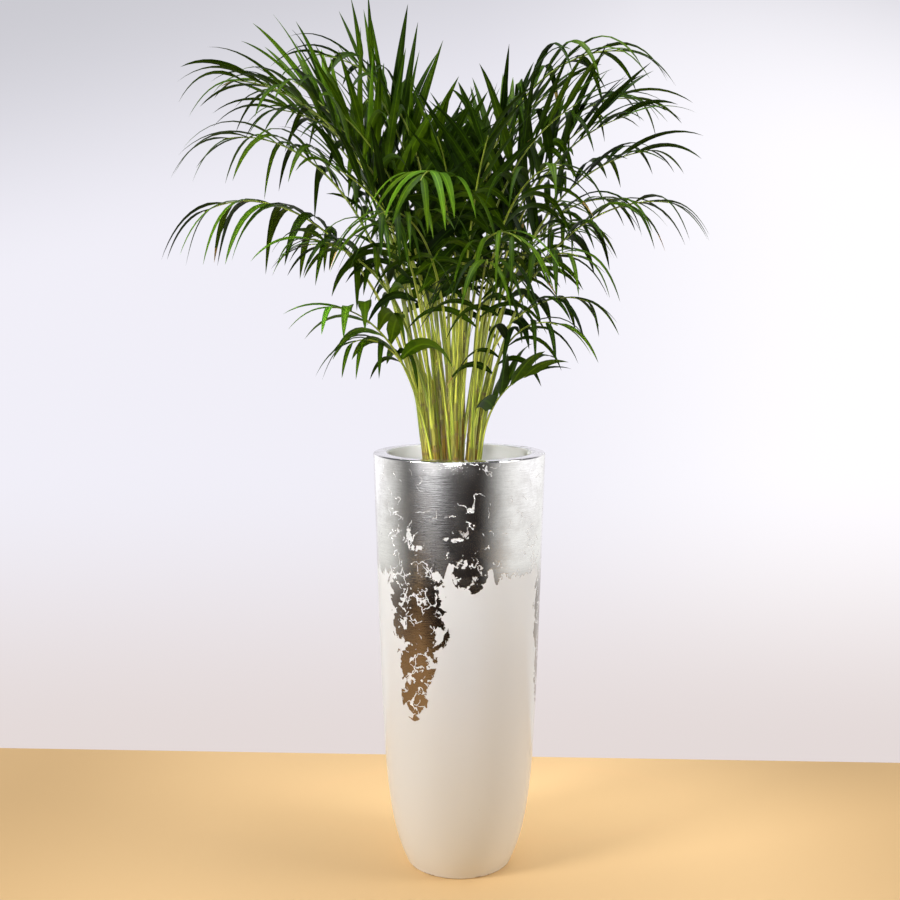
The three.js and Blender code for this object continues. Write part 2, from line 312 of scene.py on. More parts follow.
planter = {
    "height": 0.9, "waist": 0.1569, "flare": 0.029, "tuck": 0.045, "tuckReach": 0.095,
    "footRound": 0.006, "lipWidth": 0.032, "lipRound": 0.004, "floor": 0.04, "sides": 192,
    "wallRings": 46, "ringCrowding": 1.3,  # the rings stand closer at the foot, where the wall bends most
    "innerBendTop": 0.4, "innerRings": 8, "arcSteps": 5,
}


def planterRadius(z):
    return planter["waist"] + planter["flare"] * z - planter["tuck"] * math.exp(-z / planter["tuckReach"])


def quarterArc(x, z, radius, start, end):
    steps = planter["arcSteps"]
    turns = [math.radians(start + (end - start) * i / steps) for i in range(steps + 1)]
    return [(x + radius * math.cos(turn), z + radius * math.sin(turn)) for turn in turns]


def planterProfile():
    height, foot, lip = planter["height"], planter["footRound"], planter["lipRound"]
    outer = planterRadius(height)
    inner = outer - planter["lipWidth"]
    rings, innerRings = planter["wallRings"], planter["innerRings"]
    wall = [foot + (height - lip - foot) * (i / rings) ** planter["ringCrowding"] for i in range(1, rings)]
    bend = planter["innerBendTop"] - planter["floor"]
    cavity = [planter["floor"] + bend * i / innerRings for i in range(innerRings, -1, -1)]
    return [
        (0, 0),
        *quarterArc(planterRadius(foot) - foot, foot, foot, -90, 0),
        *[(planterRadius(z), z) for z in wall],
        *quarterArc(outer - lip, height - lip, lip, 0, 90),
        *quarterArc(inner + lip, height - lip, lip, 90, 180),
        *[(planterRadius(z) - planter["lipWidth"], z) for z in cavity],
        (0, planter["floor"]),
    ]


silverLeaf = {
    "specular": 0.5,
    "bandFoot": 0.662,  # mean height of the band's ragged lower edge, which rises in front
    "archHalf": 0.045, "archRise": 0.022,
    "edgePatch": 0.05, "edgeFinger": 0.075, "edgeFray": 0.016,  # how far it strays
    "clusters": [  # heading from the front, mid height, half width along the wall, half height
        (-32, 0.625, 0.070, 0.062),
        (-31, 0.555, 0.066, 0.055),
        (-33, 0.480, 0.047, 0.060),
        (-34, 0.415, 0.031, 0.052),
        (6, 0.668, 0.034, 0.034),
        (75, 0.570, 0.036, 0.090),
        (80, 0.450, 0.030, 0.085),
        (152, 0.560, 0.060, 0.120),
        (-122, 0.600, 0.050, 0.080),
    ],
    "clusterFlake": 0.9, "clusterFray": 0.5, "clusterTrim": 0.12,
    "bare": [  # spots where the leaf has worn off, given like the clusters
        (6, 0.802, 0.010, 0.006),
        (-35, 0.742, 0.008, 0.020),
        (-30, 0.722, 0.018, 0.007),
    ],
    "bareFray": 5, "bareCrinkle": 3, "bareLevel": 0.45,
    "meanRadius": 0.172, "flakeScale": 44.0, "veinWidth": 0.014, "webWidth": 0.070,
    "driftReach": 0.030, "tearReach": 0.013,
    "fingerStretch": (1, 1, 0.2), "brushStretch": (4, 4, 60),
    "silver": rgb(0.84, 0.83, 0.815), "silverDull": rgb(0.40, 0.39, 0.38),
    "tarnish": rgb(0.20, 0.165, 0.145), "tarnishLow": rgb(0.27, 0.21, 0.160),
    "glaze": rgb(0.70, 0.71, 0.725), "glazeLow": rgb(0.81, 0.80, 0.76), "glazeCloud": rgb(0.78, 0.75, 0.70),
    # inner: painted light, a near white for light that falls into the pot
    "inner": rgb(0.95, 0.95, 0.93), "scuff": rgb(0.36, 0.25, 0.16),
    "relief": (0.0006, 0.5),
    "grain": {  # noises: scale, detail, roughness
        "drift": (22.0,), "tear": (95.0, 3.0, 0.6), "fray": (130.0, 4.0, 0.65), "patch": (13.0,),
        "crinkle": (70.0, 4.0, 0.62), "fingers": (62.0, 3.0), "vein": (19.0,), "broken": (41.0,),
        "worn": (40.0, 5.0, 0.72), "lipWear": (30.0, 4.0, 0.6), "brushed": (9.0, 5.0, 0.65),
        "dulled": (16.0, 4.0, 0.6), "cloud": (5.0, 3.0), "scuff": (55.0, 3.0), "speck": (210.0,),
    },
    "span": {  # where each sets in and where it is full
        "band": (-0.001, 0.001), "cluster": (-0.015, 0.015), "inCluster": (-0.3, 0.2),
        "aboveEdge": (0.02, 0.22), "crazed": (0.40, 0.60), "broken": (0.48, 0.58), "crack": (0.2, 0.4),
        "web": (0.5, 0.8), "worn": (0.68, 0.70), "wornPlace": (0.75, 1.0), "outside": (-0.006, -0.003),
        "lipTop": (-0.0045, -0.002), "lipWear": (0.38, 0.45), "lipPlace": (0.1545, 0.158),
        "brushed": (0.35, 0.65), "dulled": (0.42, 0.66), "clean": (0.60, 0.70), "grey": (0.46, 0.60),
        "upper": (0.0, 0.5), "rimInside": (0.5, 0.52), "offFloor": (0.001, 0.006), "scuff": (0.5, 0.6),
        "speck": (0.79, 0.82),
    },
}


def clusterField(around, z, cluster):  # 1 in the middle of a cluster or a bare spot, 0 at its rim
    heading, middle, halfWidth, halfHeight = cluster
    sideways = around - math.radians(heading) * silverLeaf["meanRadius"]
    return 1 - (sideways / halfWidth) ** 2 - ((z - middle) / halfHeight) ** 2


def leafOnWall(shade, around, z, bent, fray, patch, crinkle):  # 1 where silver leaf covers the glaze
    look = shade.look
    fingers = shade.grain("fingers", shade.stretched(shade.place, look["fingerStretch"]))
    edge = look["bandFoot"] + shade.bell(around / look["archHalf"]) * look["archRise"]
    edge += (patch - 0.5) * look["edgePatch"] + (fingers - 0.5) * look["edgeFinger"]
    band = shade.rise(z - edge - (fray - 0.5) * look["edgeFray"], "band")
    flake = shade.node("ShaderNodeSeparateColor", {}, {0: shade.cells(bent, look["flakeScale"], "F1", "Color")})
    hanging = shade.highest(*[clusterField(around, z, cluster) for cluster in look["clusters"]])
    ragged = hanging + (flake - 0.5) * look["clusterFlake"] + (fray - 0.5) * look["clusterFray"]
    cluster = shade.rise(ragged - look["clusterTrim"], "cluster")

    # Cracks: contour lines of a noise and some cell edges, both broken off in places
    nearEdge = 1 - shade.rise(z - look["bandFoot"], "aboveEdge")
    crazed = shade.highest(shade.rise(hanging, "inCluster"), nearEdge * shade.rise(patch, "crazed"))
    vein = shade.maths("ABSOLUTE", shade.grain("vein", bent) - 0.5)
    broken = shade.rise(shade.grain("broken"), "broken")
    crack = (vein < look["veinWidth"] * (0.4 + crazed)) * shade.rise(broken * (0.35 + crazed), "crack")
    cellEdge = shade.cells(bent, look["flakeScale"], "DISTANCE_TO_EDGE", "Distance")
    web = (cellEdge < look["webWidth"] * fray) * shade.rise(broken * crazed, "web")
    worn = shade.rise(shade.grain("worn"), "worn") * shade.rise(crazed + patch, "wornPlace")
    chipping = (fray - 0.5) * look["bareFray"] + (crinkle - 0.5) * look["bareCrinkle"]
    chips = [clusterField(around, z, spot) + chipping > look["bareLevel"] for spot in look["bare"]]
    return shade.highest(band, cluster) * (1 - shade.highest(crack, web, worn, *chips))


def silverTone(shade, z, brushed, dulled):
    tarnished = shade.highest(1 - shade.rise(z, "clean"), dulled * 0.2)
    brown = shade.layered("tarnishLow", (shade.rise(z, "grey"), "tarnish"))
    silver = shade.blend(tarnished, shade.look["silver"], brown)
    return shade.blend(shade.rise(brushed, "brushed") * 0.18, silver, shade.look["silverDull"])


def glazeTone(shade, z, outside, cloud):
    scuffed = (1 - shade.rise(z, "offFloor")) * shade.rise(shade.grain("scuff"), "scuff")
    specks = shade.rise(shade.grain("speck"), "speck")
    # the inside of the rim gets painted light, a near white
    return shade.layered("glaze", (1 - shade.rise(z, "upper"), "glazeLow"), (cloud * 0.10, "glazeCloud"),
                         ((1 - outside) * shade.rise(z, "rimInside"), "inner"),
                         (shade.highest(scuffed, specks * 0.5), "scuff"))


def planterFinish():
    look = silverLeaf
    shade = Finish("glazeAndSilverLeaf", look)
    x, y, z = shade.axes(shade.place)
    radius = (x * x + y * y) ** 0.5
    around = shade.maths("ARCTAN2", x, 0 - y) * look["meanRadius"]

    # The torn edges follow cells that two sizes of noise bend
    drift = shade.scaled(shade.grain("drift")["Color"], look["driftReach"])
    tear = shade.scaled(shade.grain("tear")["Color"], look["tearReach"])
    bent = shade.shifted(shade.shifted(shade.place, drift), tear)
    patch, crinkle = shade.grain("patch"), shade.grain("crinkle", bent)

    outside = shade.rise(radius - (planter["waist"] + planter["flare"] * z), "outside")
    lipTop = shade.rise(z - planter["height"], "lipTop")
    lipWear = shade.rise(shade.grain("lipWear") + (patch - 0.5) * 0.6, "lipWear")
    leaf = leafOnWall(shade, around, z, bent, shade.grain("fray"), patch, crinkle) * outside * (1 - lipTop)
    leaf += lipTop * lipWear * shade.rise(radius, "lipPlace")

    brushed = shade.grain("brushed", shade.stretched(shade.place, look["brushStretch"]))
    dulled = shade.rise(shade.grain("dulled"), "dulled")
    cloud = shade.grain("cloud")
    shade.wear({"Metallic": leaf})
    return shade.done(
        shade.blend(leaf, glazeTone(shade, z, outside, cloud), silverTone(shade, z, brushed, dulled)),
        leaf * (0.08 + 0.12 * brushed + 0.08 * dulled) + (1 - leaf) * (0.16 + 0.10 * cloud),
        leaf * (0.6 + 0.45 * crinkle + 0.50 * brushed) + (1 - leaf) * 0.08 * cloud)


planterPiece = linked("planter", softened(turnedMesh("planter", planterProfile(), planter["sides"]), 40))
planterPiece.data.materials.append(planterFinish())
seated(planterPiece, "planter", "pot")
print("planter turned,", len(planterPiece.data.polygons), "faces")


# Soil with bark mulch

soil = {
    "top": 0.83, "gap": 0.001, "floorGap": 0.0003, "rings": 26, "sides": 96, "wallHeights": [0.2, 0.4],
    "lumpScale": 38.0, "lumpLevel": 0.62, "chipJag": 1.7, "sharpEarth": 60, "sharpBark": 30,
    "shapes": [(0.5, 0.35, 0.18), (1.3, 0.8, 0.36)],  # least and most of a chip's size, and of its turn
    "tilts": [(-0.5, -0.5, 0.0), (0.5, 0.5, 6.28)],
}
mulch = {"Lumps": 0.008, "Chips": 3600.0, "Chip Size": 0.011, "Soil Top": soil["top"], "Seed": 5}
earthLook = {
    "specular": 0.25, "dark": rgb(0.018, 0.011, 0.007), "light": rgb(0.075, 0.045, 0.026),
    "grain": {"grit": (160.0, 5.0, 0.65), "tone": (22.4,)}, "span": {"light": (0.35, 0.65)},
    "relief": (0.002, 0.7),
}
barkLook = {
    **earthLook, "dark": rgb(0.05, 0.026, 0.012), "light": rgb(0.21, 0.125, 0.065),
    "grain": {"grit": (90.0, 5.0, 0.65), "tone": (12.6,)},
}


def soilProfile():
    top = soil["top"]
    reach = planterRadius(top) - planter["lipWidth"] - soil["gap"]
    wall = [planter["floor"] + soil["floorGap"], *soil["wallHeights"], top - 0.002]
    rings = [(reach * (1 - i / soil["rings"]), top) for i in range(1, soil["rings"])]
    sides = [(planterRadius(z) - planter["lipWidth"] - soil["gap"], z) for z in wall]
    return [(0, wall[0]), *sides, *rings, (0, top)]


def mulchTree():  # lumpy soil, or the chips of bark that lie scattered over its top
    graph, inputs = newTree("mulch", {
        "Lumps": "Float", "Chips": "Float", "Chip Size": "Float", "Soil Top": "Float", "Seed": "Int",
        "Only Chips": "Bool"})
    place = graph.node("GeometryNodeInputPosition")
    onTop = graph.axes(place)[2] > inputs["Soil Top"] - 0.001
    lump = (graph.noise(place, soil["lumpScale"], 3.0) - soil["lumpLevel"]) * inputs["Lumps"]
    lifted = graph.node("GeometryNodeSetPosition", {}, {
        "Geometry": inputs, "Selection": onTop, "Offset": graph.node("ShaderNodeCombineXYZ", {}, {2: lump})})
    scatter = graph.node("GeometryNodeDistributePointsOnFaces", {}, {
        "Mesh": lifted, "Selection": onTop, "Density": inputs["Chips"], "Seed": inputs["Seed"]})
    chip = graph.node("GeometryNodeMeshIcoSphere", {}, {"Radius": 1.0, "Subdivisions": 1})
    jut = graph.noise(graph.node("GeometryNodeInputPosition"), soil["chipJag"], 1.0) - 0.5
    chip = pushed(graph, chip, jut)
    turn, size = [graph.node("FunctionNodeRandomValue", {"data_type": "FLOAT_VECTOR"}, {0: least, 1: most})
                  for least, most in (soil["tilts"], soil["shapes"])]
    chips = graph.node("GeometryNodeInstanceOnPoints", {}, {
        "Points": scatter, "Instance": chip, "Rotation": turn,
        "Scale": graph.scaled(size, inputs["Chip Size"])})
    chosen = graph.node("GeometryNodeSwitch", {"input_type": "GEOMETRY"},
                        {"Switch": inputs["Only Chips"], "False": lifted, "True": chips})
    return closeTree(graph, chosen, inputs)


def soilFinish(name, look):
    shade = Finish(name, look)
    grit = shade.grain("grit")
    light = shade.rise(grit * 0.6 + shade.grain("tone") * 0.4, "light")
    return shade.done(shade.layered("dark", (light, "light")), 0.80 + 0.18 * grit, grit)


def makeSoil():
    tree = mulchTree()
    profile = soilProfile()
    ground = grown("potting_soil", turnedMesh("soil", profile, soil["sides"]), tree, soil["sharpEarth"],
                   {**mulch, "Only Chips": False, "Material": soilFinish("pottingSoil", earthLook)})
    chips = grown("bark_mulch", turnedMesh("soil", profile, soil["sides"]), tree, soil["sharpBark"],
                  {**mulch, "Only Chips": True, "Material": soilFinish("barkMulch", barkLook)})
    seated(ground, "soil", "soil")
    seated(chips, "soil")
    print("soil and mulch laid,", len(ground.data.polygons) + len(chips.data.polygons), "faces")


makeSoil()


# Canes: x and y from the clump's centre, height above the soil, outward lean in degrees

clump = {"x": -0.014, "y": 0.0, "footGap": 0.0003}
canes = [
    (-0.049, -0.013, 0.200, 6),
    (-0.032, -0.042, 0.230, 6),
    (0.002, -0.053, 0.260, 4),
    (0.033, -0.038, 0.220, 6),
    (0.045, 0.001, 0.200, 6),
    (0.034, 0.040, 0.250, 6),
    (-0.006, 0.054, 0.290, 4),
    (-0.041, 0.034, 0.240, 7),
    (-0.020, 0.000, 0.310, 2),
    (0.008, -0.018, 0.290, 2),
    (0.014, 0.016, 0.330, 2),
]
caneShape = {
    "footRadius": 0.0105, "tipRadius": 0.0065, "flare": 0.002, "flareReach": 0.012,
    "rings": 64, "sharpAngle": 60,
    "nodeSpacing": 0.052, "nodeSwell": 0.0009, "nodeHalf": 0.0035, "nodeLevel": 0.35,
    "closing": 0.04, "closedBy": 0.7,  # the last part of the length, where the tip closes
    "streakLength": 0.30, "sweep": {"Sides": 28, "Relief": 0.0045, "Flute Scale": 1.9},
}
strandLook = {  # what canes and ribs share
    "apart": 5.3,  # from one strand's noise to the next one's
    "toneStretch": 0.21, "tone": (1.7, 1.0), "toneSpan": (0.44, 0.62), "seamStretch": 0.8, "seamCore": 0.4,
}
caneLook = {
    "specular": 0.45,
    # groove and ridge follow the flutes of the relief: real streaks, with painted shade in the grooves and a
    # painted highlight on the ridges
    "groove": rgb(0.045, 0.065, 0.004), "ridge": rgb(0.84, 0.80, 0.11), "strand": rgb(0.22, 0.29, 0.018),
    "blotch": rgb(0.09, 0.13, 0.008), "sheath": rgb(0.24, 0.105, 0.014), "old": rgb(0.29, 0.165, 0.008),
    "seam": rgb(0.040, 0.040, 0.006), "node": rgb(0.20, 0.135, 0.05),
    "seamScale": 2.6, "seamWidth": 0.045, "relief": (0.0010, 0.9),
    "grain": {"flute": (caneShape["sweep"]["Flute Scale"],), "streak": (5.0, 4.0, 0.6),
              "blotch": (0.9, 3.0, 0.6), "sheath": (1.6, 4.0, 0.7)},
    "span": {"ridge": (0.40, 0.58), "blotch": (0.46, 0.60), "sheath": (0.44, 0.54), "age": (0.25, 0.75),
             "oldBlotch": (0.38, 0.54)},
}


def noise(seed):  # a repeatable number between 0 and 1 for each seed
    value = math.sin(seed * 12.9898) * 43758.5453
    return value - math.floor(value)


def mixed(first, second, share):
    return first + (second - first) * share


def leaning(lean, heading):  # the unit vector that leans away from the vertical towards a heading
    return Vector((math.sin(lean) * math.cos(heading), math.sin(lean) * math.sin(heading), math.cos(lean)))


def caneAxis(index, share):
    x, y, height, lean = canes[index]
    foot = Vector((clump["x"] + x, clump["y"] + y, soil["top"] + clump["footGap"]))
    return foot + leaning(math.radians(lean), math.atan2(y, x)) * (height * share)


def caneRadius(share):
    return mixed(caneShape["footRadius"], caneShape["tipRadius"], share)


def strandPlace(shade, stretch):  # round a strand and, stretched out, along it
    return shade.shifted(shade.attribute("round", "Vector"),
                         shade.scaled(shade.attribute("lengthwise", "Vector"), stretch))


def strandTone(shade):  # a slow change of tone, different on each strand
    along = shade.scaled(shade.attribute("lengthwise", "Vector"), strandLook["toneStretch"])
    return shade.step(shade.noise(along, *strandLook["tone"]), *strandLook["toneSpan"])


def paintedShadeLines(shade):  # thin lines of painted shade that run along a strand, for the shade between stems
    width = shade.look["seamWidth"]
    place = strandPlace(shade, strandLook["seamStretch"])
    wave = shade.maths("ABSOLUTE", shade.noise(place, shade.look["seamScale"], 1.0) - 0.5)
    return 1 - shade.step(wave, width * strandLook["seamCore"], width)


def caneFinish():
    shade = Finish("caneSkin", caneLook)
    age = shade.attribute("share")
    flute = shade.grain("flute", strandPlace(shade, 1.0))
    streak = shade.grain("streak", strandPlace(shade, 1.4))
    blotch = shade.grain("blotch", strandPlace(shade, 3.0))
    sheath = shade.grain("sheath", strandPlace(shade, 2.0)) - age * 0.24 + 0.06
    old = (1 - shade.rise(age, "age")) * (0.35 + 0.55 * shade.rise(blotch, "oldBlotch"))
    # the flute noise is the relief's own, so the grooves get painted shade and the ridges a painted highlight
    colour = shade.layered(
        "groove", (shade.rise(flute * 0.7 + streak * 0.3, "ridge"), "ridge"),
        (strandTone(shade) * 0.6, "strand"), (shade.rise(blotch, "blotch") * 0.5, "blotch"),
        (shade.rise(sheath, "sheath") * 0.85, "sheath"), (old, "old"), (paintedShadeLines(shade) * 0.8, "seam"),
        (shade.attribute("ring") * 0.8, "node"))
    return shade.done(colour, 0.30 + 0.22 * streak, streak)


def alongStrand(index, length, streakLength):  # where the strand's noise is read
    return Vector((0, 0, strandLook["apart"] * index + length / streakLength))


def makeCanes(tree):
    shape = caneShape
    finish = caneFinish()
    for index, cane in enumerate(canes):
        height = cane[2]
        rows = []
        for i in range(shape["rings"] + 1):
            share = i / shape["rings"]
            phase = share * height / shape["nodeSpacing"] + noise(index * 5.1 + 0.3)
            off = abs(phase - round(phase)) * shape["nodeSpacing"]
            ring = math.exp(-((off / shape["nodeHalf"]) ** 2))
            flare = shape["flare"] * math.exp(-share * height / shape["flareReach"])
            radius = caneRadius(share) + flare + shape["nodeSwell"] * (ring - shape["nodeLevel"])
            close = 1 - max(0, 1 - (1 - share) / shape["closing"]) ** 2 * shape["closedBy"]
            place = alongStrand(index, share * height, shape["streakLength"])
            rows.append((caneAxis(index, share), radius * close, ring, share, place))
        points, radii, rings, shares, places = zip(*rows)
        strands = Strands()
        strands.add(points, half=radii, ring=rings, share=shares, lengthwise=places)
        name = f"cane_relief_{index + 1:02d}"
        piece = grown(name, strands.mesh(name), tree, shape["sharpAngle"],
                      {**shape["sweep"], "Material": finish})
        seated(piece, "cane", f"cane_{index + 1:02d}")
    print("canes grown,", len(canes))


rods = rodTree()
makeCanes(rods)


# Fronds: cane, share of its height where the foot sits, compass heading, rib length,
# lean at the foot, lean at the tip, and how late the rib bends. 180 is left, 270 is front.

fronds = [
    # Left side, the lowest arch first
    (7, 0.56, 184, 0.745, 17, 116, 2.2),
    (0, 0.90, 178, 0.750, 13, 102, 2.6),
    (1, 1.00, 188, 0.755, 12, 90, 2.6),
    (7, 1.00, 172, 0.760, 11, 77, 2.3),
    (0, 1.00, 168, 0.730, 9, 58, 2.5),
    (8, 1.00, 160, 0.690, 4, 84, 3.2),
    (8, 0.75, 182, 0.700, 11, 88, 2.6),
    (1, 0.75, 194, 0.470, 14, 96, 2.2),
    (7, 0.85, 200, 0.440, 13, 104, 2.2),
    (0, 0.62, 212, 0.300, 8, 118, 1.8),
    (1, 0.56, 244, 0.560, 8, 108, 2.4),
    # Right side, the highest first
    (9, 1.00, 354, 0.775, 5, 96, 2.6),
    (5, 1.00, 8, 0.755, 10, 94, 2.7),
    (4, 1.00, 2, 0.650, 12, 84, 2.2),
    (4, 0.64, 352, 0.660, 12, 101, 2.1),
    (3, 0.88, 4, 0.350, 12, 110, 1.5),
    (4, 0.18, 306, 0.440, 8, 108, 2.2),
    (4, 0.28, 350, 0.230, 6, 78, 1.7),
    (5, 0.70, 16, 0.610, 11, 101, 2.3),
    # Front
    (2, 1.00, 262, 0.540, 6, 128, 2.4),
    (1, 0.22, 214, 0.450, 13, 92, 2.0),
    (3, 1.00, 305, 0.560, 8, 100, 2.4),
    (2, 0.70, 285, 0.520, 9, 122, 2.0),
    (9, 0.75, 262, 0.520, 5, 52, 2.4),
    (2, 0.45, 250, 0.600, 8, 110, 2.4),
    (3, 0.60, 314, 0.500, 11, 108, 2.2),
    (3, 0.40, 280, 0.540, 8, 112, 2.2),
    # Back
    (6, 1.00, 95, 0.520, 5, 52, 2.4),
    (6, 0.75, 60, 0.620, 7, 60, 2.4),
    (6, 0.50, 135, 0.740, 9, 66, 2.4),
    (5, 0.45, 60, 0.680, 11, 98, 2.4),
    (5, 0.25, 80, 0.640, 9, 104, 2.2),
    (7, 0.22, 142, 0.740, 10, 66, 2.6),
    (10, 0.80, 84, 0.520, 4, 48, 2.4),
    (6, 0.25, 100, 0.620, 9, 104, 2.2),
    (10, 0.55, 58, 0.660, 5, 58, 2.6),
    (4, 0.50, 46, 0.650, 10, 98, 2.2),
    (0, 0.48, 148, 0.800, 8, 66, 2.6),
    # Upright ones inside
    (8, 0.60, 144, 0.700, 5, 54, 2.6),
    (10, 1.00, 22, 0.580, 5, 66, 2.4),
    (9, 0.50, 330, 0.700, 6, 62, 2.6),
    (10, 0.30, 10, 0.760, 8, 60, 2.4),
    (2, 0.24, 215, 0.650, 7, 64, 2.4),
    (8, 0.28, 225, 0.710, 6, 55, 2.6),
    (9, 0.28, 284, 0.680, 6, 60, 2.2),
    (6, 0.88, 200, 0.660, 7, 37, 2.0),
    (5, 0.92, 346, 0.660, 11, 80, 2.4),
]
rib = {
    "rings": 8, "ringCrowding": 1.5, "fineSteps": 7, "sway": 20, "footSink": 0.85, "tipSink": 0.004,
    "footRadius": 0.0041, "tipRadius": 0.0010, "taper": 0.8, "shortShare": 0.72, "fullLength": 0.8,
    "swell": 0.25, "swellReach": 0.06,
    "sheathLength": 0.055, "sheathGap": 0.0012, "sheathSteps": 8, "sheathMost": 0.85, "sheathJoin": 1.6,
    "sharpAngle": 60, "streakLength": 0.20, "sweep": {"Sides": 9, "Relief": 0.0008, "Flute Scale": 1.2},
}
ribLook = {
    "specular": 0.45,
    # grooves and ridges follow the relief: real streaks, with painted shade in the grooves and a painted
    # highlight on the ridges
    "footGroove": rgb(0.19, 0.25, 0.012), "footRidge": rgb(0.92, 0.93, 0.13), "strand": rgb(0.20, 0.29, 0.020),
    "seam": rgb(0.045, 0.065, 0.004), "tipGroove": rgb(0.07, 0.12, 0.007), "tipRidge": rgb(0.34, 0.42, 0.04),
    "sheath": rgb(0.16, 0.11, 0.025),
    "seamScale": 1.5, "seamWidth": 0.055, "relief": (0.0005, 0.6),
    "grain": {"streak": (rib["sweep"]["Flute Scale"], 3.0, 0.6), "patch": (14.0,)},
    "span": {"ridge": (0.34, 0.66), "tip": (0.30, 0.75), "sheath": (-0.01, 0.03)},
}


def ribFrame(index, share):  # tangent, sideways and upper directions at a share of a rib's length
    cane, height, heading, length, footLean, tipLean, bend = fronds[index]
    sway = (noise(index * 3.3 + 0.7) - 0.5) * 2 * rib["sway"]
    turn = math.radians(heading + sway * share ** 2)
    along = leaning(math.radians(footLean + (tipLean - footLean) * share ** bend), turn)
    across = Vector((-math.sin(turn), math.cos(turn), 0))
    return along, across, along.cross(across)


def ringShare(step):
    return 1 - (1 - step) ** rib["ringCrowding"]


def ribPath(index):  # shares of the length and the points there, from foot to tip
    cane, share, heading, length = fronds[index][:4]
    onTip = share >= 1
    point = caneAxis(cane, share)
    if onTip:
        point.z -= rib["tipSink"]
    else:
        point += leaning(math.pi / 2, math.radians(heading)) * (rib["footSink"] * caneRadius(share))
    shares, points = [0.0], [point.copy()]
    for ring in range(rib["rings"]):
        start = ringShare(ring / rib["rings"])
        span = ringShare((ring + 1) / rib["rings"]) - start
        for i in range(rib["fineSteps"]):
            middle = start + span * (i + 0.5) / rib["fineSteps"]
            point = point + ribFrame(index, middle)[0] * (length * span / rib["fineSteps"])
            shares.append(start + span * (i + 1) / rib["fineSteps"])
            points.append(point.copy())
    return shares, points


def pointOnRib(path, share):
    shares, points = path
    i = 1
    while i < len(shares) - 1 and shares[i] < share:
        i += 1
    return points[i - 1].lerp(points[i], (share - shares[i - 1]) / (shares[i] - shares[i - 1]))


def ribRadius(index, share):
    size = mixed(rib["shortShare"], 1, fronds[index][3] / rib["fullLength"])
    return mixed(rib["tipRadius"], rib["footRadius"], (1 - share) ** rib["taper"]) * size


def ribFinish():
    shade = Finish("ribSkin", ribLook)
    share = shade.attribute("share")
    streak = shade.grain("streak", strandPlace(shade, 1.0))
    bright = shade.rise(streak, "ridge")
    # the streak noise follows the relief, so its grooves get painted shade and its ridges a painted highlight
    foot = shade.layered("footGroove", (bright, "footRidge"), (strandTone(shade) * 0.65, "strand"),
                         (paintedShadeLines(shade) * 0.75, "seam"))
    tip = shade.layered("tipGroove", (bright, "tipRidge"))
    colour = shade.blend(shade.rise(share + (shade.grain("patch") - 0.5) * 0.5, "tip"), foot, tip)
    sheath = shade.rise(0 - share + (streak - 0.5) * 0.10, "sheath")
    return shade.done(shade.blend(sheath * 0.6, colour, ribLook["sheath"]), 0.28 + 0.20 * streak, streak)


def makeRibs(tree, paths):
    strands = Strands()
    for index, (shares, points) in enumerate(paths):
        cane, height = fronds[index][:2]
        caneLength = canes[cane][2]
        rows = []  # points, radii and shares of the rib's length
        length = rib["sheathLength"] * (0.7 + 0.6 * noise(index * 2.7))
        length = min(length, rib["sheathMost"] * height * caneLength)
        wrap, start = caneRadius(height) + rib["sheathGap"], ribRadius(index, 0) * (1 + rib["swell"])
        for i in range(rib["sheathSteps"]):  # the sheath, from the cane's surface out to the rib
            rise = i / rib["sheathSteps"]
            on = caneAxis(cane, height - (1 - rise) * length / caneLength)
            point = on.lerp(points[0], rise ** rib["sheathJoin"])
            rows.append((point, mixed(wrap, start, rise ** 1.3), (rise - 1) * 0.1))
        for share, point in list(zip(shares, points))[::2]:
            swell = rib["swell"] * math.exp(-share / rib["swellReach"])
            rows.append((point, ribRadius(index, share) * (1 + swell), share))
        line, radii, reach = zip(*rows)
        places = [alongStrand(index, share * fronds[index][3], rib["streakLength"]) for share in reach]
        strands.add(line, half=radii, share=reach, lengthwise=places)
    piece = grown("frond_ribs", strands.mesh("frond_ribs"), tree, rib["sharpAngle"],
                  {**rib["sweep"], "Material": ribFinish()})
    seated(piece, "leaf", *[f"frond_{i + 1:02d}" for i in range(len(fronds))])
    print("ribs grown,", len(piece.data.polygons), "faces")


ribPaths = [ribPath(index) for index in range(len(fronds))]
makeRibs(rods, ribPaths)


# Leaflets

leaflet = {
    "bareShare": 0.45, "spacing": 0.040, "fewest": 4, "sideOffset": 0.25, "lastShare": 0.99,
    "length": 0.250, "shortShare": 0.35, "longRib": 0.85,
    "axil": (62, 24), "axilSpread": 18,  # degrees away from the rib, at its foot and its tip
    # on young fronds and on old ones
    "tipLean": (52, 122), "lift": (50, 14), "width": (0.024, 0.0155), "droop": (0.3, 3.0),
    "liftFade": 10, "liftSpread": 30, "narrowing": 0.4,
    "steps": 10, "sharpAngle": 50, "dryShare": 0.03, "sweep": {"Fold": 0.30, "Thickness": 0.05},
}
blade = {"baseReach": 0.25, "baseWidth": 0.20, "taper": 2.2, "rounding": 0.9, "least": 0.012}
showy = {0: 1.35, 17: 1.7, 19: 1.6, 20: 1.6}  # fronds whose leaflets are brightened as painted light, and this many times as wide
tones = {  # steps up the greens, for a spray of this many pairs on one side of a rib
    # the rise on showy fronds is painted light; the drop for leaflets near the crown's middle is painted shade
    "mean": 1.75, "frondSpread": 1.2, "spraySpread": 1.6, "showyRise": 1.0, "sprayPairs": 2,
    "innerDrop": 1.25, "innerReach": 0.34,
}
